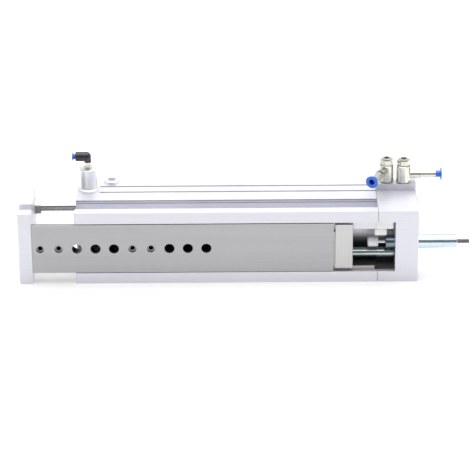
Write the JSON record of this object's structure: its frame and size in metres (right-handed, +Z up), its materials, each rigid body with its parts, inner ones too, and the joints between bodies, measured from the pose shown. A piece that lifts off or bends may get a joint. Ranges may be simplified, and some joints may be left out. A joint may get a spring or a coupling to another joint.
{
  "type": "guided pneumatic slide cylinder",
  "caption": "Guided pneumatic cylinder with a flush steel slide, yoke plate, windowed end cap, shock absorber, flow valves and clamping unit.",
  "frame": {"origin": "on the side the cylinder rests on, at the middle of the housing's length and depth", "axes": "+X along the stroke from the yoke to the end cap, +Y back from the slide's face, +Z up from the resting side"},
  "size_m": [0.4895, 0.092, 0.1283],
  "materials": {
    "anodised_aluminium": "clear anodised, satin",
    "unit_aluminium": "turned and anodised",
    "inner_aluminium": "turned",
    "slide_steel": "ground along its length",
    "block_steel": "fine ground",
    "rail_steel": "ground",
    "ball_steel": "polished",
    "cage_brass": "plain",
    "chrome_rod": "hard chromed",
    "zinc_steel": "blue zinc plated",
    "dark_steel": "blackened",
    "magnet": "sintered",
    "black_rubber": "smooth",
    "white_plastic": "moulded",
    "nickel_brass": "nickel plated",
    "needle_steel": "turned",
    "washer_plastic": "moulded",
    "black_plastic": "moulded, slight sheen",
    "blue_plastic": "moulded"
  },
  "bodies": {
    "cylinder_body": {"housing": "anodised_aluminium", "guide_rail_lower": "rail_steel", "guide_rail_upper": "rail_steel", "rod_bearing_cap": "inner_aluminium", "rod_bush": "cage_brass", "rod_seal": "black_rubber", "rod_wiper": "black_rubber", "bearing_o_ring": "black_rubber", "retaining_ring": "dark_steel", "end_cap": "anodised_aluminium", "end_cap_screws": "dark_steel", "end_cap_o_ring": "black_rubber", "bore_bumper": "black_rubber", "bore_plug": "block_steel", "channel_plug": "dark_steel", "port_plug": "unit_aluminium", "rail_end_pad": "white_plastic", "stop_rod": "chrome_rod", "stop_rod_nut": "zinc_steel", "advance_buffer": "black_rubber", "sleeve_clamp_screw": "dark_steel", "clamp_housing": "unit_aluminium", "clamp_spring": "dark_steel", "elbow_thread": "nickel_brass", "valve_washers": "washer_plastic", "valve_screw_1": "nickel_brass", "valve_screw_2": "nickel_brass"},
    "slide_group": {"slide": "slide_steel", "slide_end_block": "block_steel", "end_block_screws": "dark_steel", "yoke_plate": "anodised_aluminium", "yoke_screws": "dark_steel", "yoke_dowels": "dark_steel", "rod_nut": "block_steel", "rod_end_nut": "block_steel", "piston_rod": "chrome_rod", "piston": "inner_aluminium", "piston_seals": "black_rubber", "piston_magnet": "magnet", "piston_nut": "zinc_steel"},
    "ball_guide_lower": {"ball_cage_lower": "cage_brass", "guide_balls_lower": "ball_steel"},
    "ball_guide_upper": {"ball_cage_upper": "cage_brass", "guide_balls_upper": "ball_steel"},
    "stop_sleeve_group": {"stop_sleeve": "zinc_steel", "absorber_body": "dark_steel", "adjuster_stem": "dark_steel"},
    "absorber_plunger": {"absorber_rod": "chrome_rod", "absorber_cap": "white_plastic"},
    "clamp_pin_group": {"clamp_pin": "chrome_rod", "clamp_seal": "black_rubber"},
    "elbow": {"elbow_body": "black_plastic"},
    "elbow_ring": {"elbow_release_ring": "blue_plastic"},
    "valve_arm_1": {"valve_body_1": "nickel_brass"},
    "valve_arm_2": {"valve_body_2": "nickel_brass"},
    "valve_ring_1": {"release_ring_1": "blue_plastic"},
    "valve_ring_2": {"release_ring_2": "blue_plastic"},
    "needle_1": {"needle_screw_1": "needle_steel"},
    "needle_2": {"needle_screw_2": "needle_steel"}
  },
  "joints": [
    {"name": "slide_travel", "type": "slide", "parent": "cylinder_body", "child": "slide_group", "axis": [-1, 0, 0], "range_m": [-0.0155, 0.1535]},
    {"name": "ball_travel_lower", "type": "slide", "parent": "cylinder_body", "child": "ball_guide_lower", "axis": [-1, 0, 0], "range_m": [-0.008, 0.077]},
    {"name": "ball_travel_upper", "type": "slide", "parent": "cylinder_body", "child": "ball_guide_upper", "axis": [-1, 0, 0], "range_m": [-0.008, 0.077]},
    {"name": "sleeve_adjust", "type": "slide", "parent": "cylinder_body", "child": "stop_sleeve_group", "axis": [1, 0, 0], "range_m": [0, 0.022]},
    {"name": "absorber_travel", "type": "slide", "parent": "stop_sleeve_group", "child": "absorber_plunger", "axis": [1, 0, 0], "range_m": [0, 0.0075], "stiffness_N_per_m": 300, "springref_m": -0.006},
    {"name": "clamp_pin_lift", "type": "slide", "parent": "cylinder_body", "child": "clamp_pin_group", "axis": [0, 0, 1], "range_m": [-0.001, 0], "stiffness_N_per_m": 500, "springref_m": 0.002, "deforming": ["clamp_spring"]},
    {"name": "elbow_swivel", "type": "hinge", "parent": "cylinder_body", "child": "elbow", "pos_m": [-0.1512, 0.018, 0.115], "axis": [0, 0, 1], "continuous": true},
    {"name": "elbow_ring_press", "type": "slide", "parent": "elbow", "child": "elbow_ring", "axis": [1, 0, 0], "range_m": [0, 0.0008], "stiffness_N_per_m": 60, "springref_m": -0.001},
    {"name": "valve_swivel_1", "type": "hinge", "parent": "cylinder_body", "child": "valve_arm_1", "pos_m": [0.1757, 0.0184, 0.102], "axis": [0, 0, 1], "range_deg": [-154, 26]},
    {"name": "valve_swivel_2", "type": "hinge", "parent": "cylinder_body", "child": "valve_arm_2", "pos_m": [0.1942, 0.0164, 0.102], "axis": [0, 0, 1], "range_deg": [-90, 90]},
    {"name": "valve_ring_press_1", "type": "slide", "parent": "valve_arm_1", "child": "valve_ring_1", "axis": [0.4384, 0.8988, 0], "range_m": [0, 0.001], "stiffness_N_per_m": 80, "springref_m": -0.001},
    {"name": "valve_ring_press_2", "type": "slide", "parent": "valve_arm_2", "child": "valve_ring_2", "axis": [-1, 0, 0], "range_m": [0, 0.001], "stiffness_N_per_m": 80, "springref_m": -0.001},
    {"name": "needle_turn_1", "type": "hinge", "parent": "cylinder_body", "child": "needle_1", "pos_m": [0.1757, 0.0184, 0.115], "axis": [0, 0, 1], "continuous": true},
    {"name": "needle_turn_2", "type": "hinge", "parent": "cylinder_body", "child": "needle_2", "pos_m": [0.1942, 0.0164, 0.115], "axis": [0, 0, 1], "continuous": true}
  ],
  "couplings": [
    {"joint": "ball_travel_lower", "follows": "slide_travel", "ratio": 0.5},
    {"joint": "ball_travel_upper", "follows": "slide_travel", "ratio": 0.5}
  ]
}
